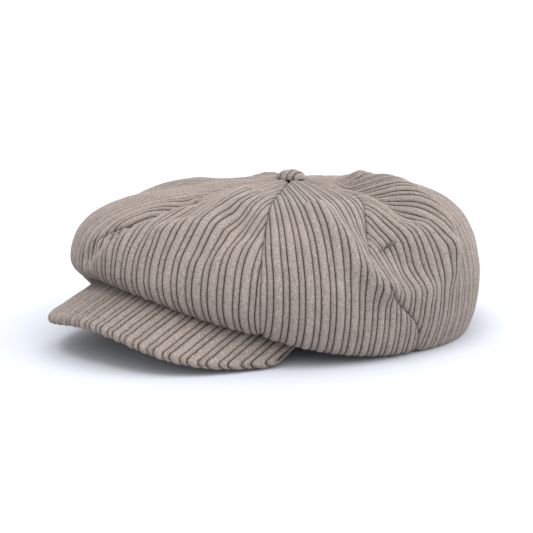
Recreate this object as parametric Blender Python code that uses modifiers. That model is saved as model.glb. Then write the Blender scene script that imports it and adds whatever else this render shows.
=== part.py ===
"""Newsboy cap: eight-gore corduroy crown, hidden headband, arched visor, lining and covered button.

Metres, +Z up.  The cap stands on z = 0 with the visor towards -Y and the origin under the middle
of its box.  It lies as a worn-in cap does: the back of the crown rests on the table, the visor
props up the front, and the whole cap leans a little towards +X.
"""
import math

import bmesh
import bpy
from mathutils import Matrix, Vector

MM = 0.001

# Crown
CROWN_HALF_WIDTH = 137 * MM
CROWN_HALF_LENGTH = 145 * MM
CROWN_CENTRE_Y = 10.75 * MM
CROWN_TOP = 97 * MM
TOP_SHIFT = Vector((10 * MM, 8 * MM, 0))  # how far the slump has carried the button aside
GORE_SEAMS = [-10, 37, 80, 122.5, 166, 209.5, 253, 300, 350]  # degrees round the crown
CORDUROY_THICKNESS = 2.4 * MM
SEAM_GAP = 0.5 * MM
CROWN_COLUMNS = 6

# The crown's underside: lifted by the visor at the front, flat on the table at the back
FRONT_LIFT = 42 * MM
LIFT_CENTRE = math.radians(-10)
LIFT_NEAR_SPREAD = math.radians(51)
LIFT_FAR_SPREAD = math.radians(60)
WIDEST_HEIGHT = 38 * MM

# Head opening and the rings around it
HEAD_HALF_WIDTH = 82.5 * MM
HEAD_HALF_LENGTH = 100 * MM
HEAD_CENTRE = Vector((0, 5 * MM, 23.6 * MM))
BAND_PITCH = math.radians(-12)
BAND_HEIGHT = 27 * MM
BAND_THICKNESS = 1.6 * MM
STIFFENER_THICKNESS = 0.8 * MM
SWEATBAND_THICKNESS = 1.2 * MM
LAYER_GAP = 0.4 * MM
RING_SIDES = 48

# Visor: one arched, forward-sloping surface that all three layers follow
VISOR_FRONT = 155.75 * MM
VISOR_HALF_WIDTH = 86 * MM
VISOR_FRONT_HEIGHT = 25.2 * MM
VISOR_SLOPE = 0.3715
VISOR_ARCH = 5.1
VISOR_END_ANGLE = math.radians(66)
VISOR_REACH = math.radians(80)
VISOR_TO_BAND = 3.0 * MM
TOP_COVER_THICKNESS = 1.4 * MM
BOARD_THICKNESS = 1.8 * MM
UNDER_COVER_THICKNESS = 1.0 * MM
BOARD_INSET = 0.03
UNDER_COVER_SEAM_INSET = 0.08
SIDE_LEAN = 0.09
HINGE_POINT = Vector((0, -72 * MM, 36 * MM))

# Lining, label and button
LINING_THICKNESS = 0.8 * MM
LINING_DEPTH = 6 * MM
LINING_SHOULDER_ROW = 8
LINING_COLUMNS = 6
LINING_HEM_ABOVE_BAND = 5 * MM
LINING_CORE_HEIGHT = 45 * MM
LABEL_WIDTH = 22 * MM
LABEL_MIDDLE = math.radians(-120)
LABEL_LOW = 6 * MM
LABEL_THICKNESS = 0.4 * MM
BUTTON_RADIUS = 9.8 * MM
BUTTON_HEIGHT = 6.2 * MM
COVER_THICKNESS = 1.2 * MM
SHELL_THICKNESS = 0.6 * MM
STEM_RADIUS = 1.6 * MM
STEM_BOTTOM = 85 * MM
PLATE_THICKNESS = 1.0 * MM
WASHER_RADIUS = 7 * MM
WASHER_THICKNESS = 0.8 * MM
WASHER_HEIGHT = 88 * MM
TURNED_SIDES = 24
DOME_STEPS = 6

# Outer surface of a gore, from the button to the widest line: (share of radius, share of height)
CROWN_TOP_ROWS = [(0.04, 1.0), (0.13, 0.99), (0.26, 0.97), (0.42, 0.935), (0.58, 0.88),
                  (0.72, 0.80), (0.83, 0.69), (0.91, 0.55), (0.965, 0.37), (0.99, 0.18), (1.0, 0.0)]
# From the widest line down to the fold under the crown: (share of radius, share of height)
CROWN_UNDER_ROWS = [(0.995, 0.60), (0.975, 0.25), (0.94, 0.0), (0.885, 0.0)]
FOLD_RISE = 0.12
CROWN_TO_BAND = 1.0 * MM
SEAM_BELOW_BAND_TOP = 4 * MM
INTAKE_RISE = 4 * MM

# Colour (linear), roughness, metallic
FINISHES = {
    "corduroy": ((0.305, 0.266, 0.242), 0.95, 0.0),
    "lining_satin": ((0.10, 0.095, 0.09), 0.45, 0.0),
    "cotton_twill": ((0.09, 0.08, 0.075), 0.85, 0.0),
    "buckram": ((0.72, 0.70, 0.65), 0.9, 0.0),
    "visor_board": ((0.80, 0.80, 0.78), 0.5, 0.0),
    "tinned_steel": ((0.55, 0.55, 0.56), 0.35, 1.0),
    "woven_label": ((0.75, 0.73, 0.70), 0.7, 0.0),
}


def clear_scene():
    for thing in list(bpy.data.objects):
        bpy.data.objects.remove(thing, do_unlink=True)


def new_collection(name):
    group = bpy.data.collections.new(name)
    bpy.context.scene.collection.children.link(group)
    return group


def finish_material(name):
    """One Principled material per finish, made the first time it is asked for."""
    material = bpy.data.materials.get(name)
    if material:
        return material
    colour, roughness, metallic = FINISHES[name]
    material = bpy.data.materials.new(name)
    material.use_nodes = True
    shader = material.node_tree.nodes["Principled BSDF"]
    shader.inputs["Base Color"].default_value = (*colour, 1)
    shader.inputs["Roughness"].default_value = roughness
    shader.inputs["Metallic"].default_value = metallic
    return material


def place(thing, name, finish, group, parent=None):
    """Name an object, give it its finish, collect it, and hang it on its joint's empty."""
    thing.name = name
    thing.data.name = name
    thing.data.materials.clear()
    thing.data.materials.append(finish_material(finish))
    for old in list(thing.users_collection):
        old.objects.unlink(thing)
    group.objects.link(thing)
    if parent:
        thing.parent = parent
    return thing


def bent_block(columns, rows, shape, origin=None):
    """A thin block, closed on all sides, whose grid is bent into shape(u, v, layer)."""
    mesh = bpy.data.meshes.new("block")
    block = bmesh.new()
    bmesh.ops.create_grid(block, x_segments=columns, y_segments=rows, size=1)
    raised = bmesh.ops.extrude_face_region(block, geom=block.faces[:], use_keep_orig=True)
    for vertex in [item for item in raised["geom"] if isinstance(item, bmesh.types.BMVert)]:
        vertex.co.z = 1
    for vertex in block.verts:
        u = (vertex.co.x + 1) / 2
        v = (vertex.co.y + 1) / 2
        vertex.co = shape(u, v, vertex.co.z) - (origin or Vector())
    bmesh.ops.recalc_face_normals(block, faces=block.faces[:])
    if block.calc_volume(signed=True) < 0:
        bmesh.ops.reverse_faces(block, faces=block.faces[:])
    bmesh.ops.triangulate(block, faces=block.faces[:])
    block.to_mesh(mesh)
    block.free()
    mesh.shade_smooth()
    mesh.set_sharp_from_angle(angle=math.radians(40))
    thing = bpy.data.objects.new("block", mesh)
    return thing


def surface_normal(surface, u, v):
    """Unit normal of surface(u, v), from two short steps along it: out of the cloth's face side."""
    step = 0.002
    across = surface(u + step, v) - surface(u - step, v)
    along = surface(u, v + step) - surface(u, v - step)
    return along.cross(across).normalized()


def front_lift(azimuth):
    """Height of the fold under the crown; azimuth 0 is over the visor, positive towards +X."""
    turn = (azimuth - LIFT_CENTRE + math.pi) % (2 * math.pi) - math.pi
    if turn > 0:
        return FRONT_LIFT * math.exp(-(turn / LIFT_NEAR_SPREAD) ** 2)
    return FRONT_LIFT * math.exp(-(-turn / LIFT_FAR_SPREAD) ** 3)


def crown_radius(azimuth):
    return 1 / math.hypot(math.sin(azimuth) / CROWN_HALF_WIDTH, math.cos(azimuth) / CROWN_HALF_LENGTH)


def ring_frame():
    """The tilted frame that the headband's rings stand in."""
    lean = Matrix.Rotation(math.atan(SIDE_LEAN), 4, "Y")
    pitch = Matrix.Rotation(BAND_PITCH, 4, "X")
    return Matrix.Translation(HEAD_CENTRE) @ pitch @ lean


def band_point(azimuth, outward, height):
    """A point outside the head opening's ellipse, in the tilted frame of the rings."""
    local = Vector(((HEAD_HALF_WIDTH + outward) * math.sin(azimuth),
                    -(HEAD_HALF_LENGTH + outward) * math.cos(azimuth), height))
    return ring_frame() @ local


def outer_band_outward():
    return SWEATBAND_THICKNESS + STIFFENER_THICKNESS + BAND_THICKNESS + 2 * LAYER_GAP


def crown_rows(azimuth):
    """The crown's outer line at one azimuth, from the button down, under, and in to the band."""
    radius = crown_radius(azimuth)
    lift = front_lift(azimuth)
    widest = WIDEST_HEIGHT + 0.35 * lift
    outwards = Vector((math.sin(azimuth), -math.cos(azimuth), 0))
    centre = Vector((0, CROWN_CENTRE_Y, 0))
    points = []
    for share, height in CROWN_TOP_ROWS:
        rise = Vector((0, 0, widest + (CROWN_TOP - widest) * height))
        points.append(centre + TOP_SHIFT * (1 - share) + outwards * radius * share + rise)
    for share, height in CROWN_UNDER_ROWS:
        rise = Vector((0, 0, lift + (widest - lift) * height))
        points.append(centre + outwards * radius * share + rise)
    points[-1].z += FOLD_RISE * lift
    outward = outer_band_outward() + CORDUROY_THICKNESS + CROWN_TO_BAND
    seam = band_point(azimuth, outward, BAND_HEIGHT - SEAM_BELOW_BAND_TOP)
    points.append(points[-1].lerp(seam, 0.55) + Vector((0, 0, INTAKE_RISE)))
    points.append(seam)
    return points


def row_point(points, position):
    """Position along a line of points, counted in points; it runs straight on past both ends."""
    index = min(max(int(math.floor(position)), 0), len(points) - 2)
    return points[index].lerp(points[index + 1], position - index)


def gore_solid(azimuth_from, azimuth_to, thickness, rows, columns):
    """One gore: its face side follows the rows, thickness goes inwards, gaps stay at both seams."""
    last_row = len(rows(0)) - 1

    def surface(azimuth, position):
        return row_point(rows(azimuth), position)

    def shape(u, v, layer):
        position = v * last_row
        turn = azimuth_to - azimuth_from
        chord = (surface(azimuth_to, position) - surface(azimuth_from, position)).length
        margin = SEAM_GAP / 2 * turn / chord
        azimuth = azimuth_from + margin + u * (turn - 2 * margin)
        depth = thickness * (1 - layer)
        return surface(azimuth, position) - surface_normal(surface, azimuth, position) * depth

    return bent_block(columns, last_row, shape)


def gore_spans():
    """Where each gore starts and ends, seam to seam, in radians."""
    return [(math.radians(start), math.radians(end)) for start, end in zip(GORE_SEAMS, GORE_SEAMS[1:])]


def build_crown(group):
    for number, (start, end) in enumerate(gore_spans(), 1):
        gore = gore_solid(start, end, CORDUROY_THICKNESS, crown_rows, CROWN_COLUMNS)
        place(gore, f"crown_gore_{number}", "corduroy", group)


def lining_rows(azimuth):
    """The lining keeps inside the crown to its shoulder, then runs straight in to the band."""
    core = Vector((0, CROWN_CENTRE_Y, LINING_CORE_HEIGHT))
    points = []
    for outer in crown_rows(azimuth)[:LINING_SHOULDER_ROW + 1:2]:
        points.append(outer + (core - outer).normalized() * LINING_DEPTH)
    outward = outer_band_outward() - BAND_THICKNESS
    hem = band_point(azimuth, outward, BAND_HEIGHT + LINING_HEM_ABOVE_BAND)
    points.append(points[-1].lerp(hem, 0.5))
    points.append(hem)
    return points


def build_lining(group):
    for number, (start, end) in enumerate(gore_spans(), 1):
        gore = gore_solid(start, end, LINING_THICKNESS, lining_rows, LINING_COLUMNS)
        place(gore, f"lining_gore_{number}", "lining_satin", group)


def ring(name, inner_outward, thickness, low, high, finish, group):
    """An elliptical ring round the head opening, from low to high above its lower edge."""
    bpy.ops.mesh.primitive_cylinder_add(vertices=RING_SIDES, radius=1, depth=high - low,
                                        end_fill_type="NOTHING")
    thing = bpy.context.object
    stretch = Matrix.Diagonal((HEAD_HALF_WIDTH + inner_outward, HEAD_HALF_LENGTH + inner_outward, 1, 1))
    thing.data.transform(Matrix.Translation((0, 0, (low + high) / 2)) @ stretch)
    thing.matrix_world = ring_frame()
    wall = thing.modifiers.new("wall", "SOLIDIFY")
    wall.thickness = thickness
    wall.offset = 1
    thing.data.shade_smooth()
    thing.data.set_sharp_from_angle(angle=math.radians(40))
    return place(thing, name, finish, group)


def build_headband(group):
    outward = 0
    ring("sweatband", outward, SWEATBAND_THICKNESS, 0, BAND_HEIGHT + 2 * MM, "cotton_twill", group)
    outward += SWEATBAND_THICKNESS + LAYER_GAP
    ring("band_stiffener", outward, STIFFENER_THICKNESS, 1 * MM, BAND_HEIGHT - 1 * MM, "buckram", group)
    outward += STIFFENER_THICKNESS + LAYER_GAP
    ring("outer_band", outward, BAND_THICKNESS, 0, BAND_HEIGHT, "corduroy", group)


def build_care_label(group):
    """A blank woven label, its top edge behind the sweatband's, hanging inside it at the left."""
    half_angle = LABEL_WIDTH / 2 / HEAD_HALF_LENGTH

    def shape(u, v, layer):
        azimuth = LABEL_MIDDLE + half_angle * (2 * u - 1)
        outward = -0.5 * MM - LABEL_THICKNESS * layer
        return band_point(azimuth, outward, LABEL_LOW + v * (BAND_HEIGHT - LABEL_LOW))

    place(bent_block(4, 2, shape), "care_label", "woven_label", group)


def visor_rim(x):
    """How far forward the visor's edge lies at x."""
    return -(VISOR_FRONT - 2.5 * x ** 2 - 830 * x ** 4)


def visor_surface(u, v):
    """Top of the visor: u runs along it from -X to +X, v from the band to the front edge."""
    turn = VISOR_END_ANGLE * (2 * u - 1)
    seam = band_point(turn, outer_band_outward() + VISOR_TO_BAND, 0)
    rim_x = VISOR_HALF_WIDTH * math.sin(VISOR_REACH * (2 * u - 1)) / math.sin(VISOR_REACH)
    flat = Vector((seam.x, seam.y)).lerp(Vector((rim_x, visor_rim(rim_x))), v)
    height = VISOR_FRONT_HEIGHT + VISOR_SLOPE * (flat.y + VISOR_FRONT) - VISOR_ARCH * flat.x ** 2
    return Vector((flat.x, flat.y, height - SIDE_LEAN * flat.x))


def visor_layer(depth, thickness, rim_inset, seam_inset, origin):
    """One visor layer, depth below the top surface, drawn in from the rim and from the band."""
    def shape(u, v, layer):
        u = rim_inset + u * (1 - 2 * rim_inset)
        v = seam_inset + v * (1 - rim_inset - seam_inset)
        below = depth + thickness * (1 - layer)
        return visor_surface(u, v) - surface_normal(visor_surface, u, v) * below

    return bent_block(20, 4, shape, origin)


def build_visor(group):
    hinge = bpy.data.objects.new("visor_hinge", None)
    hinge.location = HINGE_POINT
    group.objects.link(hinge)
    board_depth = TOP_COVER_THICKNESS + LAYER_GAP
    under_depth = board_depth + BOARD_THICKNESS + LAYER_GAP
    top = visor_layer(0, TOP_COVER_THICKNESS, 0, 0, HINGE_POINT)
    board = visor_layer(board_depth, BOARD_THICKNESS, BOARD_INSET, BOARD_INSET, HINGE_POINT)
    under = visor_layer(under_depth, UNDER_COVER_THICKNESS, 0, UNDER_COVER_SEAM_INSET, HINGE_POINT)
    place(top, "visor_top_cover", "corduroy", group, hinge)
    place(board, "visor_board", "visor_board", group, hinge)
    place(under, "visor_under_cover", "corduroy", group, hinge)


def turned(outline, closed=False):
    """A turned solid: an outline of (radius, height) points, run outer side down, spun round Z."""
    mesh = bpy.data.meshes.new("turned")
    edges = [(index, index + 1) for index in range(len(outline) - 1)]
    if closed:
        edges.append((len(outline) - 1, 0))
    mesh.from_pydata([(radius, 0, height) for radius, height in outline], edges, [])
    thing = bpy.data.objects.new("turned", mesh)
    spin = thing.modifiers.new("spin", "SCREW")
    spin.steps = TURNED_SIDES
    spin.render_steps = TURNED_SIDES
    spin.use_merge_vertices = True
    spin.merge_threshold = 0.02 * MM
    return thing


def dome(radius, height):
    """Points over a low dome, from its top on the axis down to its rim."""
    angles = [math.pi / 2 * index / DOME_STEPS for index in range(DOME_STEPS + 1)]
    return [(radius * math.sin(angle), height * math.cos(angle)) for angle in angles]


def dome_shell(radius, height, thickness):
    """Outline of a domed shell: over the outside, across the rim and back up the inside."""
    return dome(radius, height) + dome(radius - thickness, height - thickness)[::-1]


def build_button(group):
    """The covered button: fabric cover, metal dome, back plate, split stem and inner washer."""
    seat = Vector((0, CROWN_CENTRE_Y, CROWN_TOP + 0.5 * MM)) + TOP_SHIFT
    gap = 0.3 * MM
    cover = turned(dome_shell(BUTTON_RADIUS, BUTTON_HEIGHT, COVER_THICKNESS))
    cover.location = seat
    place(cover, "button_cover", "corduroy", group)

    shell_radius = BUTTON_RADIUS - COVER_THICKNESS - gap
    shell_height = BUTTON_HEIGHT - COVER_THICKNESS - gap
    shell = turned(dome_shell(shell_radius, shell_height, SHELL_THICKNESS))
    shell.location = seat
    place(shell, "button_shell", "tinned_steel", group)

    plate_radius = shell_radius - SHELL_THICKNESS - gap
    plate_middle = Vector((0, 0, PLATE_THICKNESS / 2 + 0.4 * MM))
    bpy.ops.mesh.primitive_cylinder_add(vertices=24, radius=plate_radius - 1 * MM,
                                        depth=PLATE_THICKNESS, location=seat + plate_middle)
    place(bpy.context.object, "button_back_plate", "tinned_steel", group)

    stem_top = seat.z + 0.1 * MM
    bpy.ops.mesh.primitive_cylinder_add(vertices=16, radius=STEM_RADIUS, depth=stem_top - STEM_BOTTOM,
                                        location=(seat.x, seat.y, (STEM_BOTTOM + stem_top) / 2))
    place(bpy.context.object, "button_stem", "tinned_steel", group)

    bore = STEM_RADIUS + gap
    washer = turned([(WASHER_RADIUS, WASHER_THICKNESS), (WASHER_RADIUS, 0),
                     (bore, 0), (bore, WASHER_THICKNESS)], closed=True)
    washer.location = (seat.x, seat.y, WASHER_HEIGHT)
    place(washer, "button_washer", "tinned_steel", group)


def main():
    clear_scene()
    cap = new_collection("newsboy_cap")
    build_crown(cap)
    build_lining(cap)
    build_headband(cap)
    build_care_label(cap)
    build_visor(cap)
    build_button(cap)


main()
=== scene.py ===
import math

import bpy
import numpy as np
from mathutils import Matrix, Vector


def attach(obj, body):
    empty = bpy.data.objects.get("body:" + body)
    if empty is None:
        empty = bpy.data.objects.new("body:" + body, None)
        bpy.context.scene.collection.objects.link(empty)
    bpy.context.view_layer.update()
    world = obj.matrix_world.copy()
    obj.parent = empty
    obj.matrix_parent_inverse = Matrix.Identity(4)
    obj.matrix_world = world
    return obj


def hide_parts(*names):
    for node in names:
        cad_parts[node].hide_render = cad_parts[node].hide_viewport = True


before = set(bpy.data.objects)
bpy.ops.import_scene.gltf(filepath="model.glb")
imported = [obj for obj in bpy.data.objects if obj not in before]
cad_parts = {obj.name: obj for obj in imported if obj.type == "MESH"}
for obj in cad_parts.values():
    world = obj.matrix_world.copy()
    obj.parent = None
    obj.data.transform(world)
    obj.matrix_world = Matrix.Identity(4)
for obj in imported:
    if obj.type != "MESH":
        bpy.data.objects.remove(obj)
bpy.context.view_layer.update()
mm = 0.001

# how the cap lies: the crown slumps over the hidden headband and rests on the visor in front
# angles are in degrees, from the front towards +X; a side is (its middle, how far it spreads)
crown = {
    "halfWidth": 137 * mm, "halfLength": 145 * mm, "centreY": 10.75 * mm, "top": 97 * mm,
    "topShift": (10 * mm, 8 * mm), "coreHeight": 45 * mm,
    "frontLift": 42 * mm, "liftCentre": -10, "nearSpread": 51, "farSpread": 60,
    "slumpSide": (22, 48), "fullSide": (125, 62),
    "farTuck": 9 * mm, "tuckSide": (-50, 38), "farDrop": 12 * mm, "dropSide": (-76, 24),
    "widest": 38 * mm, "widestRise": 0.35, "innerRise": 0.12, "innerFrom": 0.9,
    "turnIn": 0.55, "turnInRise": 4 * mm, "seamOut": 3.4 * mm, "seamHeight": 23 * mm,
    "seams": [-10, 37, 80, 122.5, 166, 209.5, 253, 300, 350],
    "seamGap": 0.06 * mm, "clothThickness": 1.5 * mm, "lowest": 0.3 * mm,
    "puff": 1.4 * mm, "puffReach": 0.36, "puffLeast": 6 * mm,
    "seamDip": 1.0 * mm, "seamReach": 2.6 * mm, "seamFade": 1.0 * mm,
    "fullness": 0.55, "narrowest": 4 * mm, "rowStep": 1.9 * mm,
    "phase": [0.10, 0.38, 0.72, 0.2, 0.5, 0.9, 0.35, 0.6],
}
# thick-and-thin corduroy: one wide and one narrow wale to a repeat
cord = {"repeat": 9.0 * mm, "wide": 0.60, "wideHeight": 1.3 * mm, "narrowHeight": 1.05 * mm,
        "wobble": 0.12 * mm, "unevenness": 0.10}
headRing = {"halfWidth": 82.5 * mm, "halfLength": 100 * mm, "centre": (0, 5 * mm, 23.6 * mm),
            "pitch": -12, "lean": 0.09, "outward": 4.4 * mm, "meanRadius": 94 * mm}
# creases and swells pushed into the crown: (height, reach, points), all in millimetres
folds = [
    (-8.0, 7, [(-2, -70, 92), (-4, -98, 87), (-12, -118, 80), (-30, -131, 66), (-42, -130, 56)]),
    (3.0, 8, [(8, -88, 90), (6, -112, 82), (-10, -130, 70), (-24, -138, 58)]),
    (4.5, 9, [(20, -45, 93), (31, -74, 88), (36, -98, 81), (22, -116, 76)]),
    (-4.5, 9, [(45, -75, 88), (58, -92, 76), (50, -112, 66)]),
    (2.0, 16, [(46, -46, 90), (58, -64, 84)]),
    (6.0, 8, [(78, -44, 88), (97, -55, 79), (110, -58, 71), (118, -58, 62), (124, -52, 53), (129, -44, 46)]),
    (-9.0, 17, [(112, -28, 80), (124, -28, 68), (131, -22, 58)]),
    (2.5, 7, [(127, -46, 45), (132, -31, 41), (137, -10, 41)]),
    (6.0, 9, [(45, 50, 96), (70, 44, 94), (92, 34, 91), (108, 28, 87), (122, 24, 78), (132, 17, 65)]),
    (-7.5, 9, [(50, 26, 96), (78, 18, 94), (98, 10, 90), (112, 4, 84)]),
    (4.0, 8, [(133, 14, 58), (137, 12, 50)]),
    (-4.0, 10, [(40, 75, 95), (60, 100, 86), (74, 118, 68)]),
    (3.5, 11, [(20, 90, 95), (30, 122, 84), (34, 140, 62)]),
    (-4.5, 9, [(-10, 80, 96), (-22, 115, 88), (-30, 143, 62), (-30, 150, 44)]),
    (3.5, 12, [(-45, 65, 95), (-75, 95, 84), (-88, 110, 64)]),
    (-5.0, 10, [(-50, 30, 96), (-90, 45, 89), (-118, 55, 72), (-128, 50, 50)]),
    (3.0, 12, [(-60, 0, 95), (-100, -2, 86), (-128, -5, 66)]),
    (-4.5, 9, [(-48, -30, 95), (-80, -55, 88), (-104, -72, 74), (-112, -80, 56)]),
]
# heights of the crown from its widest line to the top: for an even, a full and a slumped side
topShares = [0.03, 0.13, 0.26, 0.42, 0.58, 0.72, 0.83, 0.91, 0.965, 0.99, 1.0]
evenHeights = [1.0, 0.99, 0.97, 0.935, 0.88, 0.80, 0.69, 0.55, 0.37, 0.18, 0.0]
fullHeights = [1.0, 0.99, 0.985, 0.98, 0.96, 0.88, 0.77, 0.61, 0.40, 0.20, 0.0]
slumpHeights = [1.0, 0.98, 0.95, 0.89, 0.81, 0.71, 0.60, 0.47, 0.31, 0.15, 0.0]
underShares = [0.995, 0.975, 0.94, 0.885]
underHeights = [0.60, 0.25, 0.0, 0.0]


def toLinear(hexColour):
    values = [int(hexColour[i:i + 2], 16) / 255 for i in (0, 2, 4)]
    return tuple(v / 12.92 if v <= 0.04045 else ((v + 0.055) / 1.055) ** 2.4 for v in values) + (1.0,)


def addNode(tree, kind, settings=None, inputs=None, links=None):
    # one node, its settings, its socket values and what feeds it
    node = tree.nodes.new(kind)
    for name, value in (settings or {}).items():
        setattr(node, name, value)
    for name, value in (inputs or {}).items():
        node.inputs[name].default_value = value
    for name, source in (links or {}).items():
        tree.links.new(source, node.inputs[name])
    return node


def newMaterial(name):
    material = bpy.data.materials.new(name)
    material.use_nodes = True
    material.node_tree.nodes.clear()
    return material, material.node_tree


def bandPoint(az, outward, height):
    # a place on the leaning headband, outward from its oval and up from its lower edge
    ring = headRing
    lean, pitch = math.atan(ring["lean"]), math.radians(ring["pitch"])
    turn = Matrix.Rotation(pitch, 3, "X") @ Matrix.Rotation(lean, 3, "Y")
    local = np.stack([(ring["halfWidth"] + outward) * np.sin(az),
                      -(ring["halfLength"] + outward) * np.cos(az),
                      np.broadcast_to(height, az.shape)], -1)
    return local @ np.array(turn).T + np.array(ring["centre"])


def frontLift(az):
    # how far the crown's underside is propped up, most of all over the visor
    turn = (az - math.radians(crown["liftCentre"]) + np.pi) % (2 * np.pi) - np.pi
    near = np.exp(-(np.maximum(turn, 0) / math.radians(crown["nearSpread"])) ** 2)
    far = np.exp(-(np.maximum(-turn, 0) / math.radians(crown["farSpread"])) ** 3)
    return crown["frontLift"] * np.where(turn > 0, near, far)


def swellAt(az, middle, spread):
    # 1 at one azimuth, fading to nothing away from it
    turn = (az - math.radians(middle) + np.pi) % (2 * np.pi) - np.pi
    return np.exp(-(turn / math.radians(spread)) ** 2)


def crownRows(az):
    # from the button out to the widest line, under it and in to the headband
    radius = 1 / np.hypot(np.sin(az) / crown["halfWidth"], np.cos(az) / crown["halfLength"])
    radius = radius - crown["farTuck"] * swellAt(az, *crown["tuckSide"])
    lift = np.maximum(frontLift(az) - crown["farDrop"] * swellAt(az, *crown["dropSide"]), 0)
    widest = crown["widest"] + crown["widestRise"] * lift
    slump, full = swellAt(az, *crown["slumpSide"]), swellAt(az, *crown["fullSide"])
    rows = []

    def addRow(share, height, onTop):
        aside, behind = (step * (1 - share) * onTop for step in crown["topShift"])
        rows.append(np.stack([aside + radius * share * np.sin(az),
                              crown["centreY"] + behind - radius * share * np.cos(az), height], -1))

    for share, even, high, low in zip(topShares, evenHeights, fullHeights, slumpHeights):
        height = even + (high - even) * full + (low - even) * slump
        addRow(share, widest + (crown["top"] - widest) * height, 1)
    for share, height in zip(underShares, underHeights):
        rise = crown["innerRise"] * lift if share < crown["innerFrom"] else 0
        addRow(share, lift + (widest - lift) * height + rise, 0)
    seam = bandPoint(az, headRing["outward"] + crown["seamOut"], crown["seamHeight"])
    rows.append(rows[-1] + (seam - rows[-1]) * crown["turnIn"] + np.array([0, 0, crown["turnInRise"]]))
    rows.append(seam)
    return np.stack(rows, 1)


def smoothLine(rows, share):
    # rows is (n, k, 3); share runs 0..1 along each line; a rounded curve through the points
    steps = np.linalg.norm(np.diff(rows, axis=1), axis=2)
    total = np.concatenate([np.zeros((len(rows), 1)), np.cumsum(steps, 1)], 1)
    target = share * total[:, -1]
    at = np.clip((total[:, :, None] <= target[:, None, None]).sum(1)[:, 0] - 1, 0, rows.shape[1] - 2)
    pick = np.arange(len(rows))
    low, high = np.maximum(at - 1, 0), np.minimum(at + 2, rows.shape[1] - 1)
    p0, p1 = rows[pick, at], rows[pick, at + 1]
    gap = (total[pick, at + 1] - total[pick, at])[:, None]
    slope0 = (p1 - rows[pick, low]) / (total[pick, at + 1] - total[pick, low])[:, None]
    slope1 = (rows[pick, high] - p0) / (total[pick, high] - total[pick, at])[:, None]
    t = (target - total[pick, at])[:, None] / gap
    return ((2 * t ** 3 - 3 * t ** 2 + 1) * p0 + (t ** 3 - 2 * t ** 2 + t) * gap * slope0
            + (3 * t ** 2 - 2 * t ** 3) * p1 + (t ** 3 - t ** 2) * gap * slope1)


def foldPush(points):
    # sum of the creases and swells at each point
    push = np.zeros(len(points))
    for height, reach, line in folds:
        line = np.array(line, float) * mm
        nearest = np.full(len(points), 1e9)
        for start, end in zip(line[:-1], line[1:]):
            along = end - start
            t = np.clip(((points - start) @ along) / (along @ along), 0, 1)
            nearest = np.minimum(nearest, np.linalg.norm(points - start - t[:, None] * along, axis=1))
        push += height * mm * np.exp(-(nearest / (reach * mm)) ** 2)
    return push


def gridNormals(table):
    # table is (azimuths, rows, 3) and closes on itself round the crown
    across = np.roll(table, -1, 0) - np.roll(table, 1, 0)
    along = np.empty_like(table)
    along[:, 1:-1] = table[:, 2:] - table[:, :-2]
    along[:, 0], along[:, -1] = table[:, 1] - table[:, 0], table[:, -1] - table[:, -2]
    normal = np.cross(along, across)
    return normal / np.maximum(np.linalg.norm(normal, axis=2, keepdims=True), 1e-12)


def makeTable(rowsAt, insideBy=0, follow=(1, 1)):
    # insideBy is how far the layer lies inside the crown, follow how much of the crown's
    # inward and outward folds it takes
    turns, lines, atOnce = 720, 240, 20000
    az = np.repeat(np.linspace(0, 2 * np.pi, turns, endpoint=False), lines)
    share = np.tile(np.linspace(0, 1, lines), turns)
    table = np.empty((turns * lines, 3))
    for start in range(0, len(az), atOnce):
        part = slice(start, start + atOnce)
        table[part] = smoothLine(rowsAt(az[part]), share[part])
    table = table.reshape(turns, lines, 3)
    normals = gridNormals(table)
    push = foldPush((table + normals * insideBy).reshape(-1, 3)).reshape(turns, lines, 1)
    push = np.minimum(push, 0) * follow[0] + np.maximum(push, 0) * follow[1]
    table = table + normals * push
    return table, gridNormals(table)


def lookUp(table, az, share):
    # straight blend between the four nearest places of the table
    turns, lines = table.shape[:2]
    a = (az / (2 * np.pi)) * turns
    s = np.clip(share, 0, 1) * (lines - 1)
    a0, s0 = np.floor(a).astype(int), np.minimum(np.floor(s).astype(int), lines - 2)
    fa, fs = (a - a0)[..., None], (s - s0)[..., None]
    first, second = a0 % turns, (a0 + 1) % turns
    return ((table[first, s0] * (1 - fs) + table[first, s0 + 1] * fs) * (1 - fa)
            + (table[second, s0] * (1 - fs) + table[second, s0 + 1] * fs) * fa)


def waleHeight(x):
    # x in metres across the wales; a groove at 0 and at the wide wale's other side
    part = (x / cord["repeat"]) % 1
    wide = np.sin(np.pi * np.clip(part / cord["wide"], 0, 1)) ** 0.5
    narrow = np.sin(np.pi * np.clip((part - cord["wide"]) / (1 - cord["wide"]), 0, 1)) ** 0.5
    return np.where(part < cord["wide"], wide * cord["wideHeight"], narrow * cord["narrowHeight"])


def waleColumns(low, high):
    # places across the cloth: close together in the grooves, wider on the wales
    places = [0, 0.03, 0.08, 0.18, 0.30, 0.42, 0.52, 0.57, 0.60, 0.63, 0.68, 0.80, 0.92, 0.97]
    first, last = math.floor(low / cord["repeat"]) - 1, math.ceil(high / cord["repeat"]) + 1
    xs = [(n + p) * cord["repeat"] for n in range(first, last) for p in places]
    clear = 0.2 * mm
    return np.array([low] + [x for x in xs if low + clear < x < high - clear] + [high])


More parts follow.
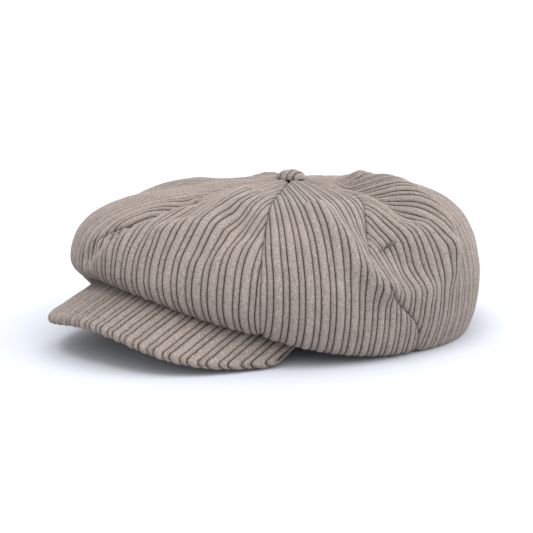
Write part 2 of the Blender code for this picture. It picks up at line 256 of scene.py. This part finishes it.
def meshGrid(name, points, flat, material):
    # points is (columns, rows, 3) and flat its cloth places (columns, rows, 2)
    columns, rows = points.shape[:2]
    bpy.ops.object.select_all(action="DESELECT")
    bpy.ops.mesh.primitive_grid_add(x_subdivisions=columns - 1, y_subdivisions=rows - 1, size=1,
                                    calc_uvs=True)
    thing = bpy.context.object
    thing.name = name
    thing.data.name = name
    mesh = thing.data
    start = np.empty(len(mesh.vertices) * 3)
    mesh.vertices.foreach_get("co", start)
    start = start.reshape(-1, 3)
    i = np.rint((start[:, 0] + 0.5) * (columns - 1)).astype(int)
    j = np.rint((start[:, 1] + 0.5) * (rows - 1)).astype(int)
    mesh.vertices.foreach_set("co", points[i, j].astype(np.float32).ravel())
    corner = np.empty(len(mesh.loops), int)
    mesh.loops.foreach_get("vertex_index", corner)
    mesh.uv_layers[0].name = "cloth"
    mesh.uv_layers["cloth"].data.foreach_set("uv", flat[i, j][corner].astype(np.float32).ravel())
    mesh.materials.append(material)
    mesh.update()
    return thing


def closeCloth(thing, thickness, mergeBy=0.05 * mm, outward=None, offset=-1):
    # merge what meets at the seams, turn the face side out, then give the cloth its thickness
    bpy.ops.object.select_all(action="DESELECT")
    thing.select_set(True)
    bpy.context.view_layer.objects.active = thing
    bpy.ops.object.mode_set(mode="EDIT")
    bpy.ops.mesh.select_all(action="SELECT")
    bpy.ops.mesh.remove_doubles(threshold=mergeBy)
    bpy.ops.mesh.dissolve_degenerate(threshold=0.01 * mm)
    bpy.ops.object.mode_set(mode="OBJECT")
    mesh = thing.data
    centres, normals = np.empty(len(mesh.polygons) * 3), np.empty(len(mesh.polygons) * 3)
    mesh.polygons.foreach_get("center", centres)
    mesh.polygons.foreach_get("normal", normals)
    centres, normals = centres.reshape(-1, 3), normals.reshape(-1, 3)
    facing = np.sum(outward(centres) * normals)
    if facing < 0:
        bpy.ops.object.mode_set(mode="EDIT")
        bpy.ops.mesh.select_all(action="SELECT")
        bpy.ops.mesh.flip_normals()
        bpy.ops.object.mode_set(mode="OBJECT")
    wall = thing.modifiers.new("cloth thickness", "SOLIDIFY")
    wall.thickness = thickness
    wall.offset = offset
    bpy.ops.object.modifier_apply(modifier=wall.name)
    bpy.ops.object.shade_smooth()
    return thing


def wander(x, y, seed):
    # slow unevenness from -1 to 1, so that no wale is quite like the next: three waves,
    # each with its own turns per metre across and along the cloth
    return (np.sin(x * 310 + seed) * np.sin(y * 95 + 1.7 * seed) + 0.6 * np.sin(x * 790 + y * 210 + seed)
            + 0.5 * np.sin(y * 470 + x * 130 - seed)) / 2.1


def corduroyCloth(name, light, dark, grooveShade):
    # cotton corduroy, cut pile in thick and thin wales: soft and matt, with painted shade on the sides of
    # each wale and deeper painted shade in the grooves
    material, tree = newMaterial(name)
    uv = addNode(tree, "ShaderNodeUVMap", {"uv_map": "cloth"})
    parts = addNode(tree, "ShaderNodeSeparateXYZ", links={0: uv.outputs[0]})
    repeat = addNode(tree, "ShaderNodeMath", {"operation": "DIVIDE"}, {1: cord["repeat"]},
                     {0: parts.outputs[0]})
    part = addNode(tree, "ShaderNodeMath", {"operation": "FRACT"}, links={0: repeat.outputs[0]})
    # wale profile: 0 in the grooves, 1 on the crests; it places the painted shade across each wale
    wale = addNode(tree, "ShaderNodeValToRGB", links={0: part.outputs[0]})
    stops = [(0.0, 0.0), (0.03, 0.10), (0.07, 0.62), (0.16, 0.95), (0.45, 1.0), (0.54, 0.62), (0.585, 0.08),
             (0.60, 0.0), (0.62, 0.10), (0.67, 0.66), (0.80, 0.92), (0.93, 0.62), (0.975, 0.10), (1.0, 0.0)]
    ramp = wale.color_ramp
    ramp.elements[0].position, ramp.elements[1].position = stops[0][0], stops[-1][0]
    ramp.elements[0].color = ramp.elements[1].color = (0, 0, 0, 1)
    for place, value in stops[1:-1]:
        ramp.elements.new(place).color = (value, value, value, 1)
    place = addNode(tree, "ShaderNodeTexCoord")
    # pile tufts, about half a millimetre; drawn a little coarse so that they show
    tufts = addNode(tree, "ShaderNodeTexNoise", inputs={"Scale": 1150.0, "Detail": 2.0, "Roughness": 0.7},
                    links={"Vector": place.outputs["Object"]})
    # wear and nap: slow changes of tone over centimetres
    nap = addNode(tree, "ShaderNodeTexNoise", inputs={"Scale": 42.0, "Detail": 3.0, "Roughness": 0.6},
                  links={"Vector": place.outputs["Object"]})
    # cross threads that show as ticks down in the grooves, 1.3 mm apart; they break up the painted groove
    # shade
    ticks = addNode(tree, "ShaderNodeMath", {"operation": "MULTIPLY"}, {1: 4830.0}, {0: parts.outputs[1]})
    tickWave = addNode(tree, "ShaderNodeMath", {"operation": "SINE"}, links={0: ticks.outputs[0]})
    tickShare = addNode(tree, "ShaderNodeMapRange",
                        inputs={"From Min": -1.0, "From Max": 1.0, "To Min": 0.55, "To Max": 1.0},
                        links={"Value": tickWave.outputs[0]})
    tuftTone = addNode(tree, "ShaderNodeMapRange",
                       inputs={"From Min": 0.25, "From Max": 0.75, "To Min": 0.42, "To Max": 1.58},
                       links={"Value": tufts.outputs[0]})
    napTone = addNode(tree, "ShaderNodeMapRange",
                      inputs={"From Min": 0.3, "From Max": 0.7, "To Min": 0.88, "To Max": 1.08},
                      links={"Value": nap.outputs[0]})
    # painted shade: the sides of each wale take the dark colour and the crest the light one, as light falls
    # on a rounded cord
    shadedPile = addNode(tree, "ShaderNodeMix", {"data_type": "RGBA"},
                   {6: toLinear(dark), 7: toLinear(light)}, {0: wale.outputs[0]})
    # painted shade: the grooves go nearly black, the shadow down in each recess
    grooveShadeShare = addNode(tree, "ShaderNodeMapRange",
                          inputs={"From Min": 0.0, "From Max": 0.35, "To Min": 1.0, "To Max": 0.0},
                          links={"Value": wale.outputs[0]})
    grooveShadeTick = addNode(tree, "ShaderNodeMath", {"operation": "MULTIPLY"},
                         links={0: grooveShadeShare.outputs[0], 1: tickShare.outputs[0]})
    cloth = addNode(tree, "ShaderNodeMix", {"data_type": "RGBA"}, {7: toLinear(grooveShade)},
                    {0: grooveShadeTick.outputs[0], 6: shadedPile.outputs[2]})
    tone = addNode(tree, "ShaderNodeMath", {"operation": "MULTIPLY"},
                   links={0: tuftTone.outputs[0], 1: napTone.outputs[0]})
    colour = addNode(tree, "ShaderNodeVectorMath", {"operation": "SCALE"},
                     links={0: cloth.outputs[2], "Scale": tone.outputs[0]})
    bump = addNode(tree, "ShaderNodeBump", inputs={"Strength": 0.55, "Distance": 0.5 * mm},
                   links={"Height": tufts.outputs[0]})
    shader = addNode(tree, "ShaderNodeBsdfPrincipled",
                     inputs={"Roughness": 0.92, "Specular IOR Level": 0.1, "Sheen Weight": 0.05,
                             "Sheen Roughness": 0.5},
                     links={"Base Color": colour.outputs[0], "Normal": bump.outputs[0]})
    addNode(tree, "ShaderNodeOutputMaterial", links={"Surface": shader.outputs[0]})
    return material


def wovenCloth(name, light, dark, thread, roughness, sheen):
    # a plain woven or twill tape or lining: fine slanting threads, thread metres apart
    material, tree = newMaterial(name)
    uv = addNode(tree, "ShaderNodeUVMap", {"uv_map": "cloth"})
    weave = addNode(tree, "ShaderNodeTexWave", {"bands_direction": "DIAGONAL"},
                    {"Scale": 0.05 / thread * 2, "Distortion": 0.6, "Detail": 1.0},
                    {"Vector": uv.outputs[0]})
    colour = addNode(tree, "ShaderNodeMix", {"data_type": "RGBA"}, {6: toLinear(dark), 7: toLinear(light)},
                     {0: weave.outputs["Fac"]})
    bump = addNode(tree, "ShaderNodeBump", inputs={"Strength": 0.3, "Distance": 0.1 * mm},
                   links={"Height": weave.outputs["Fac"]})
    shader = addNode(tree, "ShaderNodeBsdfPrincipled",
                     inputs={"Roughness": roughness, "Sheen Weight": sheen, "Specular IOR Level": 0.3},
                     links={"Base Color": colour.outputs[2], "Normal": bump.outputs[0]})
    addNode(tree, "ShaderNodeOutputMaterial", links={"Surface": shader.outputs[0]})
    return material


def hardFinish(name, light, dark, scale, roughness, metallic):
    # sheet metal or board: even colour, faintly mottled
    material, tree = newMaterial(name)
    place = addNode(tree, "ShaderNodeTexCoord")
    mottle = addNode(tree, "ShaderNodeTexNoise", inputs={"Scale": scale, "Detail": 3.0},
                     links={"Vector": place.outputs["Object"]})
    colour = addNode(tree, "ShaderNodeMix", {"data_type": "RGBA"}, {6: toLinear(dark), 7: toLinear(light)},
                     {0: mottle.outputs[0]})
    shader = addNode(tree, "ShaderNodeBsdfPrincipled", inputs={"Roughness": roughness, "Metallic": metallic},
                     links={"Base Color": colour.outputs[2]})
    addNode(tree, "ShaderNodeOutputMaterial", links={"Surface": shader.outputs[0]})
    return material


# the second colour is painted shade for the sides of the wales, the third painted shade for the grooves
crownCorduroy = corduroyCloth("greigeCorduroy", "857b75", "605852", "0c0a09")
liningSatin = wovenCloth("darkSatin", "5c5650", "4a4540", 0.6 * mm, 0.42, 0.1)
twillTape = wovenCloth("blackTwill", "4c4743", "35312e", 1.0 * mm, 0.85, 0.2)
buckram = wovenCloth("stiffBuckram", "ddd8cd", "c4beb2", 1.2 * mm, 0.9, 0.0)
labelTape = wovenCloth("wovenLabel", "e3dfd6", "d2cdc3", 0.5 * mm, 0.6, 0.2)
tinPlate = hardFinish("tinnedSteel", "c4c4c6", "b4b4b8", 400.0, 0.35, 1.0)
polyBoard = hardFinish("polyethyleneBoard", "e6e5df", "dcdbd4", 200.0, 0.5, 0.0)

crownTable, crownNormals = makeTable(crownRows)
crownCore = np.array([0, crown["centreY"], crown["coreHeight"]])
print("crown surface worked out")

# where the seams that the slump has dragged sideways run: (share of the way down, degrees)
draggedSeams = {
    -10: [(0, -12), (0.2, -11), (0.45, -2), (0.55, -5), (0.63, -11), (0.68, -15), (0.76, -13), (1, -14)],
    37: [(0, 33), (0.3, 34), (0.45, 35), (0.6, 36), (1, 35)],
    80: [(0, 80), (0.26, 78), (0.36, 71), (0.45, 67), (0.53, 64.5), (0.58, 65), (0.63, 70), (0.68, 77),
         (0.72, 80), (0.8, 81), (1, 78)],
}
draggedSeams[350] = [(place, turn + 360) for place, turn in draggedSeams[-10]]


def seamTurn(seam, share):
    # azimuth of a seam at each share of the way down
    if seam not in draggedSeams:
        return np.full_like(share, math.radians(seam))
    places, turns = zip(*draggedSeams[seam])
    spread, rounds = np.linspace(0, 1, 400), 60
    even = np.interp(spread, places, turns)
    for _ in range(rounds):  # rounds the bends
        even[1:-1] = (even[:-2] + 2 * even[1:-1] + even[2:]) / 4
    return np.radians(np.interp(share, spread, even))


def goreGrid(table, normals, seams, gap, step, xsFor):
    # a grid whose columns stay parallel to the gore's middle and stop at its seams
    middle = math.radians(sum(seams) / 2)
    spread = np.linspace(0, 1, 2000)
    line = lookUp(table, np.full(len(spread), middle), spread)
    lengths = np.concatenate([[0], np.cumsum(np.linalg.norm(np.diff(line, axis=0), axis=1))])
    count = int(lengths[-1] / step)
    run = np.linspace(0, lengths[-1], count)
    share = np.interp(run, lengths, spread)
    turn = math.radians(seams[1] - seams[0]) / 2
    sides = [lookUp(table, np.full(count, side), share) for side in (middle - turn, middle + turn)]
    reach = np.linalg.norm(sides[1] - sides[0], axis=1) / (2 * math.sin(turn))
    atLeast = np.maximum(reach, crown["narrowest"])
    # the cloth is fuller than the shape it covers, so the wales draw closer towards the top
    widest = reach.max()
    pull = atLeast / widest
    scale = np.where(share < share[reach.argmax()], widest * pull ** crown["fullness"], reach)
    low = -(middle - seamTurn(seams[0], share)) * scale + gap * scale / atLeast
    high = (seamTurn(seams[1], share) - middle) * scale - gap * scale / atLeast
    xs = xsFor(low.min(), high.max())
    x = np.clip(xs[:, None], low[None, :], high[None, :])
    az = middle + x / scale[None, :]
    s = np.broadcast_to(share[None, :], x.shape)
    y = np.broadcast_to(run[None, :], x.shape)
    toSeam = np.minimum(x - low[None, :], high[None, :] - x) * (reach / scale)[None, :]
    return x, y, toSeam, reach, lookUp(table, az, s), lookUp(normals, az, s)


def outOfCrown(points):
    out = points - crownCore
    return out / np.linalg.norm(out, axis=1, keepdims=True)


for number in range(1, 9):
    phase = crown["phase"][number - 1] * cord["repeat"]

    def shifted(low, high):
        return waleColumns(low + phase, high + phase) - phase

    x, y, toSeam, reach, points, normals = goreGrid(
        crownTable, crownNormals, crown["seams"][number - 1:number + 1], crown["seamGap"],
        crown["rowStep"], shifted)
    puffed = np.maximum(crown["puffReach"] * reach[None, :], crown["puffLeast"])
    across = np.clip(toSeam / puffed, 0, 1)
    wales = waleHeight(x + phase + cord["wobble"] * wander(y, x * 0.2, number))
    wales = wales * (1 + cord["unevenness"] * wander(x, y, number))
    wales = wales * np.clip(toSeam / crown["seamFade"], 0.3, 1)
    lift = wales - cord["wideHeight"] + crown["puff"] * (1 - (1 - across) ** 2)
    lift = lift - crown["seamDip"] * np.exp(-toSeam / crown["seamReach"])
    points = points + normals * lift[..., None]
    points[..., 2] = np.maximum(points[..., 2], crown["lowest"])
    flat = np.stack([x + phase, y], -1)
    gore = meshGrid(f"crownGore{number}", points, flat, crownCorduroy)
    closeCloth(gore, crown["clothThickness"], outward=outOfCrown)
    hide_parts(f"crown_gore_{number}")
    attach(gore, "cap")
print("crown gores made")

# visor: corduroy over a board, its edge rolled
# the outline's front falls back by a * x^2 + b * x^4; a cover's pattern is taken to be a share
# of the area of its own modelled face, because its cloth is stretched over the board
visor = {
    "front": 155.75 * mm, "halfWidth": 86 * mm, "frontHeight": 25.2 * mm, "slope": 0.3715, "arch": 5.1,
    "fallBack": (2.5, 830), "roundings": 260,
    "endAngle": 66, "toBand": 8.4 * mm, "sideBack": -38.7 * mm, "sideWidth": 85 * mm,
    "edgeRadius": 2.5 * mm, "turnUnder": 3 * mm, "rollRows": 9,
    "columns": 540, "rows": 46, "phase": 0.15, "clothThickness": 0.9 * mm, "lowest": 0.2 * mm,
    "wobble": 0.1 * mm, "unevenness": 0.12, "sink": 0.6 * mm, "bandFade": 4 * mm,
    "creaseDepth": 0.5 * mm, "creaseAt": 4.5 * mm, "creaseReach": 1.6 * mm,
    "rimSwell": 0.35, "rimReach": 3 * mm, "patternShare": 0.93,
}
underCoverLayer = {"depth": 2 * visor["edgeRadius"] - 1.0 * mm, "fromBand": 0.08, "toRim": 0.97,
                   "waleShare": 0.5, "thickness": 0.7 * mm, "lowest": 0.3 * mm, "patternShare": 0.95}
boardLayer = {"depth": 1.7 * mm, "fromBand": 0.05, "toRim": 0.985, "thickness": 1.5 * mm}


def evenPlaces(line, count):
    # the same line with evenly spaced points
    run = np.concatenate([[0], np.cumsum(np.linalg.norm(np.diff(line, axis=0), axis=1))])
    even = np.linspace(0, run[-1], count)
    return np.stack([np.interp(even, run, line[:, k]) for k in (0, 1)], 1)


def visorHeight(x, y):
    return (visor["frontHeight"] + visor["slope"] * (y + visor["front"]) - visor["arch"] * x ** 2
            - headRing["lean"] * x)


def visorOutline(count):
    # from the back of the -X side, round the front, to the back of the +X side, corners rounded
    rim = np.linspace(-visor["halfWidth"], visor["halfWidth"], 801)
    square, fourth = visor["fallBack"]
    front = np.stack([rim, -(visor["front"] - square * rim ** 2 - fourth * rim ** 4)], 1)
    side = np.linspace([-visor["sideWidth"], visor["sideBack"]], front[0], 121)[:-1]
    line = evenPlaces(np.concatenate([side, front, (side * [-1, 1])[::-1]]), 1501)
    for _ in range(visor["roundings"]):  # rounds the corners a little
        line[1:-1] = (line[:-2] + 2 * line[1:-1] + line[2:]) / 4
    return evenPlaces(line, count)


def visorSheet(rollRows, depth):
    # crescent grid: from the band out to the rim, then round the rolled edge; depth lowers it
    count = visor["columns"]
    rim = visorOutline(count)
    tangent = np.gradient(rim, axis=0)
    tangent /= np.linalg.norm(tangent, axis=1, keepdims=True)
    out = np.stack([tangent[:, 1], -tangent[:, 0]], 1)
    turn = np.radians(np.linspace(-visor["endAngle"], visor["endAngle"], count))
    inner = bandPoint(turn, visor["toBand"], 0.0)[:, :2]
    edge = rim - out * visor["edgeRadius"]
    share = np.linspace(0, 1, visor["rows"])[None, :, None]
    plan = inner[:, None, :] * (1 - share) + edge[:, None, :] * share
    top = np.concatenate([plan, visorHeight(plan[..., 0], plan[..., 1])[..., None]], 2)
    slopeX = -2 * visor["arch"] * plan[..., 0] - headRing["lean"]
    normal = np.stack([-slopeX, np.full_like(slopeX, -visor["slope"]), np.ones_like(slopeX)], -1)
    normal /= np.linalg.norm(normal, axis=2, keepdims=True)
    top = top - normal * depth
    rolled, rolledNormals = [], []
    last, lastNormal = top[:, -1], normal[:, -1]
    out3 = np.concatenate([out, np.zeros((count, 1))], 1)
    out3 = out3 - lastNormal * np.sum(out3 * lastNormal, 1, keepdims=True)
    out3 /= np.linalg.norm(out3, axis=1, keepdims=True)
    for angle in np.linspace(0, np.pi, rollRows + 1)[1:]:
        facing = out3 * math.sin(angle) + lastNormal * math.cos(angle)
        rolled.append(last + (facing - lastNormal) * visor["edgeRadius"])
        rolledNormals.append(facing)
    if rolled:
        # and a little way back underneath
        rolled.append(rolled[-1] - out3 * visor["turnUnder"])
        rolledNormals.append(rolledNormals[-1])
        top = np.concatenate([top, np.stack(rolled, 1)], 1)
        normal = np.concatenate([normal, np.stack(rolledNormals, 1)], 1)
    return top, normal


def flatPlaces(points):
    # cloth places: arc across the visor from its middle, and distance forward
    steep = np.sqrt(1 + (2 * visor["arch"] * points[..., 0]) ** 2)
    across = points[..., 0] * (0.5 + 0.5 * steep)
    ahead = np.linalg.norm(np.diff(points, axis=1), axis=2)
    forward = np.concatenate([np.zeros((len(points), 1)), np.cumsum(ahead, 1)], 1)
    return across, forward


def meshArea(thing):
    # area of the face as modelled, wales and all
    values = np.empty(len(thing.data.polygons))
    thing.data.polygons.foreach_get("area", values)
    return float(values.sum())


points, normals = visorSheet(visor["rollRows"], 0.0)
across, forward = flatPlaces(points)
phase = visor["phase"] * cord["repeat"]
wales = waleHeight(across + phase + visor["wobble"] * wander(forward, across * 0.2, 3))
wales = wales * (1 + visor["unevenness"] * wander(across, forward, 5))
# the crease just inside the rim, where the cloth is turned over the board
edgeRun = forward[:, visor["rows"] - 1][:, None] - forward
crease = -visor["creaseDepth"] * np.exp(-((edgeRun - visor["creaseAt"]) / visor["creaseReach"]) ** 2)
swell = 1 + visor["rimSwell"] * np.exp(-np.maximum(edgeRun, 0) / visor["rimReach"])
inside = np.clip(forward / visor["bandFade"], 0, 1) * swell
points = points + normals * ((wales - visor["sink"] + crease) * inside)[..., None]
points[..., 2] = np.maximum(points[..., 2], visor["lowest"])
topCover = meshGrid("visorTopCover", points, np.stack([across + phase, forward], -1), crownCorduroy)
topFace = meshArea(topCover)


def outOfVisorTop(points):
    return np.tile([0.0, -0.35, 0.94], (len(points), 1))


closeCloth(topCover, visor["clothThickness"], mergeBy=0.02 * mm, outward=outOfVisorTop)
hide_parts("visor_top_cover")
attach(topCover, "visor")


def visorLayer(layer):
    # every other column of the same crescent, below its top, stopping short of both edges
    points, normals = visorSheet(0, layer["depth"])
    full = np.linspace(0, 1, visor["rows"])
    share = np.linspace(layer["fromBand"], layer["toRim"], visor["rows"])
    points = np.stack([np.stack([np.interp(share, full, row[:, k]) for k in range(3)], 1)
                       for row in points[::2]])
    return points, normals[::2]


points, normals = visorLayer(underCoverLayer)
across, forward = flatPlaces(points)
points = points - normals * (waleHeight(across + phase) * underCoverLayer["waleShare"])[..., None]
points[..., 2] = np.maximum(points[..., 2], underCoverLayer["lowest"])
underCover = meshGrid("visorUnderCover", points, np.stack([across + phase, forward], -1), crownCorduroy)
underFace = meshArea(underCover)


def outOfVisorUnder(points):
    return -outOfVisorTop(points)


closeCloth(underCover, underCoverLayer["thickness"], mergeBy=0.02 * mm, outward=outOfVisorUnder)
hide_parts("visor_under_cover")
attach(underCover, "visor")

points, normals = visorLayer(boardLayer)
board = meshGrid("visorBoard", points, points[..., :2], polyBoard)
closeCloth(board, boardLayer["thickness"], mergeBy=0.02 * mm, outward=outOfVisorTop)
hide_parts("visor_board")
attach(board, "visor")
print("visor made")

# lining: eight gores of satin, loose inside the crown; it gives way to the crown's dents
lining = {
    "depth": 6 * mm, "thickness": 0.5 * mm, "wrinkle": 0.7 * mm, "wrinkleFade": 8 * mm, "sink": 0.7 * mm,
    "follow": (1.9, -0.2), "hemIn": 1.6 * mm, "hemHeight": 32 * mm, "seamGap": 0.2 * mm,
    "columns": 34, "rowStep": 3.5 * mm,
}


def liningRows(az):
    # every other row of the crown's top and side, drawn inwards, then down to the hem
    outer = crownRows(az)[:, 0:9:2]
    toCore = crownCore - outer
    rows = outer + toCore / np.linalg.norm(toCore, axis=2, keepdims=True) * lining["depth"]
    hem = bandPoint(az, headRing["outward"] - lining["hemIn"], lining["hemHeight"])
    between = (rows[:, -1] + hem) / 2
    return np.concatenate([rows, between[:, None], hem[:, None]], 1)


def liningColumns(low, high):
    return np.linspace(low, high, lining["columns"])


liningTable, liningNormals = makeTable(liningRows, lining["depth"], lining["follow"])
for number in range(1, 9):
    x, y, toSeam, reach, points, normals = goreGrid(
        liningTable, liningNormals, crown["seams"][number - 1:number + 1], lining["seamGap"],
        lining["rowStep"], liningColumns)
    ripple = wander(x * 0.55, y * 0.35, number) * lining["wrinkle"]
    ripple = ripple * np.clip(toSeam / lining["wrinkleFade"], 0, 1)
    points = points + normals * (ripple - lining["sink"])[..., None]
    gore = meshGrid(f"liningGore{number}", points, np.stack([x, y], -1), liningSatin)
    closeCloth(gore, lining["thickness"], outward=outOfCrown)
    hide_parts(f"lining_gore_{number}")
    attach(gore, "cap")
print("lining made")

# headband: outer band, stiffener and sweatband, each a strip as long as the head is round
band = {"columns": 240, "rows": 16, "length": 0.575, "waves": 9, "waveSlant": 60, "waleShare": 0.2}


def ringCloth(name, node, outward, low, high, thickness, material, wave, wales=False):
    az = np.linspace(0, 2 * np.pi, band["columns"] * (3 if wales else 1) + 1)
    up = np.linspace(low, high, band["rows"])
    girth = az * headRing["meanRadius"]
    rows = []
    for h in up:
        ripple = np.sin(az * band["waves"] + h * band["waveSlant"]) * (h - low) / (high - low)
        rows.append(bandPoint(az, outward + wave * ripple, h))
    points = np.stack(rows, 1)
    out = points - np.array(headRing["centre"])
    out[..., 2] = 0
    out /= np.linalg.norm(out, axis=2, keepdims=True)
    flat = np.stack(np.broadcast_arrays(girth[:, None], up[None, :]), -1)
    if wales:
        points = points + out * (waleHeight(flat[..., 0]) * band["waleShare"])[..., None]
    thing = meshGrid(name, points, flat, material)

    def outOfRing(centres):
        out = centres - np.array(headRing["centre"])
        return out * [1, 1, 0]

    closeCloth(thing, thickness, mergeBy=0.02 * mm, outward=outOfRing, offset=1)
    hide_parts(node)
    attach(thing, "cap")
    return thing


ringCloth("sweatbandTape", "sweatband", 0.2 * mm, 0, 29 * mm, 0.9 * mm, twillTape, 0.2 * mm)
ringCloth("bandStiffener", "band_stiffener", 1.6 * mm, 1 * mm, 26 * mm, 0.7 * mm, buckram, 0)
ringCloth("outerBand", "outer_band", 2.8 * mm, 0, 27 * mm, 1.1 * mm, crownCorduroy, 0, True)

# label: a blank tab that hangs free of the sweatband towards its lower end
label = {"middle": -120, "width": 22 * mm, "low": 6 * mm, "high": 27 * mm, "thickness": 0.35 * mm,
         "clear": 0.6 * mm, "hang": 0.9 * mm, "ringRadius": 0.1, "columns": 24, "rows": 22}
halfTurn = label["width"] / label["ringRadius"] / 2
az = math.radians(label["middle"]) + np.linspace(-halfTurn, halfTurn, label["columns"])
up = np.linspace(label["low"], label["high"], label["rows"])
hang = label["hang"] * ((label["high"] - up) / label["high"]) ** 2
points = np.stack([bandPoint(az, -label["clear"] - away, h) for away, h in zip(hang, up)], 1)
side = np.linspace(0, label["width"], label["columns"])
flat = np.stack(np.broadcast_arrays(side[:, None], up[None, :]), -1)
tag = meshGrid("careLabel", points, flat, labelTape)


def intoRing(centres):
    return (np.array(headRing["centre"]) - centres) * [1, 1, 0]


closeCloth(tag, label["thickness"], mergeBy=0.02 * mm, outward=intoRing)
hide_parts("care_label")
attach(tag, "cap")
print("headband made")

# button: a puckered disc of corduroy drawn over its metal shell
button = {
    "radius": 9.8 * mm, "height": 6.0 * mm, "seat": 97.5 * mm, "x": crown["topShift"][0],
    "y": crown["centreY"] + crown["topShift"][1], "turns": 96, "rings": 26, "firstRing": 0.02,
    "pleats": 14, "pleatDepth": 0.035, "phase": 2.4 * mm, "waleShare": 0.55, "waleLift": 0.8,
    "sink": 0.4 * mm, "clothThickness": 0.8 * mm,
}
turn = np.linspace(0, 2 * np.pi, button["turns"] + 1)
ringShare = np.linspace(button["firstRing"], 1, button["rings"])
angle = ringShare[None, :] * np.pi / 2
spread = button["radius"] * np.sin(angle)
pleat = np.sin(turn[:, None] * button["pleats"] + 0.7 * np.sin(turn[:, None] * 3))
spread = spread * (1 + button["pleatDepth"] * pleat * ringShare[None, :] ** 4)
x = spread * np.sin(turn)[:, None]
y = -spread * np.cos(turn)[:, None]
z = button["height"] * np.cos(angle) + 0 * x
wales = waleHeight(x + button["phase"]) * button["waleShare"] * np.clip(1.4 - ringShare[None, :], 0, 1)
points = np.stack([x * (1 + wales / button["radius"]) + button["x"],
                   y * (1 + wales / button["radius"]) + button["y"],
                   z + wales * button["waleLift"] - button["sink"] + button["seat"]], -1)
flat = np.stack([x + button["phase"], y], -1)
cover = meshGrid("buttonCover", points, flat, crownCorduroy)


def outOfButton(centres):
    return centres - np.array([button["x"], button["y"], button["seat"]])


buttonFace = meshArea(cover)
closeCloth(cover, button["clothThickness"], mergeBy=0.25 * mm, outward=outOfButton)
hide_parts("button_cover")
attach(cover, "cap")

for name in ("button_shell", "button_back_plate", "button_stem", "button_washer"):
    node = bpy.data.objects[name]
    node.data.materials.clear()
    node.data.materials.append(tinPlate)
print("button made")

# studio: pale floor, light all round and a broad soft sun overhead
studio = {
    "floorSize": 8, "dimSky": 1.1, "brightSky": 3.0, "brightFrom": (0.85, 0.5, -0.2),
    "sun": 0.9, "sunSize": 22, "sunFrom": (-0.05, -0.4, 1),
    "cameraTurn": 38.25, "cameraTilt": 12.1, "distance": 0.766, "focal": 74.8, "sensor": 36,
    "nearest": 0.01, "base": (0, 15.75 * mm, 0), "aimRight": -7.0 * mm, "aimUp": 36.2 * mm,
}

bpy.ops.object.select_all(action="DESELECT")
bpy.ops.mesh.primitive_plane_add(size=studio["floorSize"], location=(0, 0, 0))
floor = bpy.context.object
floor.name = "floor"
# cool pale grey paper with no shine; the strong light makes it white to the eye
floorMaterial, tree = newMaterial("paleGreyPaper")
shader = addNode(tree, "ShaderNodeBsdfPrincipled",
                 inputs={"Base Color": toLinear("bfc2c9"), "Roughness": 1.0, "Specular IOR Level": 0.0})
addNode(tree, "ShaderNodeOutputMaterial", links={"Surface": shader.outputs[0]})
floor.data.materials.append(floorMaterial)

world = bpy.data.worlds.new("softRoom")
bpy.context.scene.world = world
world.use_nodes = True
tree = world.node_tree
# white all round, brightest on the cap's +X side and a little behind it
place = addNode(tree, "ShaderNodeTexCoord")
facing = addNode(tree, "ShaderNodeVectorMath", {"operation": "DOT_PRODUCT"},
                 {1: studio["brightFrom"]}, {0: place.outputs["Generated"]})
fade = addNode(tree, "ShaderNodeMapRange",
               inputs={"From Min": -1.0, "From Max": 1.0, "To Min": studio["dimSky"],
                       "To Max": studio["brightSky"]}, links={"Value": facing.outputs["Value"]})
tree.links.new(fade.outputs[0], tree.nodes["Background"].inputs[1])
tree.nodes["Background"].inputs[0].default_value = (1, 1, 1, 1)

turn, tilt = math.radians(studio["cameraTurn"]), math.radians(studio["cameraTilt"])
back = Vector((math.sin(turn) * math.cos(tilt), -math.cos(turn) * math.cos(tilt), math.sin(tilt)))
right = Vector((math.cos(turn), math.sin(turn), 0))
upward = back.cross(right)
base = Vector(studio["base"])
bpy.ops.object.camera_add(location=base + back * studio["distance"])
camera = bpy.context.object
camera.name = "camera"
camera.data.lens = studio["focal"]
camera.data.sensor_width = studio["sensor"]
camera.data.clip_start = studio["nearest"]
aim = base + right * studio["aimRight"] + upward * studio["aimUp"]
camera.rotation_euler = (camera.location - aim).to_track_quat("Z", "Y").to_euler()
bpy.context.scene.camera = camera

sun = bpy.data.lights.new("overhead", "SUN")
sun.energy = studio["sun"]
sun.angle = math.radians(studio["sunSize"])
lamp = bpy.data.objects.new("overhead", sun)
lamp.rotation_euler = Vector(studio["sunFrom"]).to_track_quat("Z", "Y").to_euler()
bpy.context.collection.objects.link(lamp)
bpy.context.scene.view_settings.view_transform = "Standard"
print("studio set")
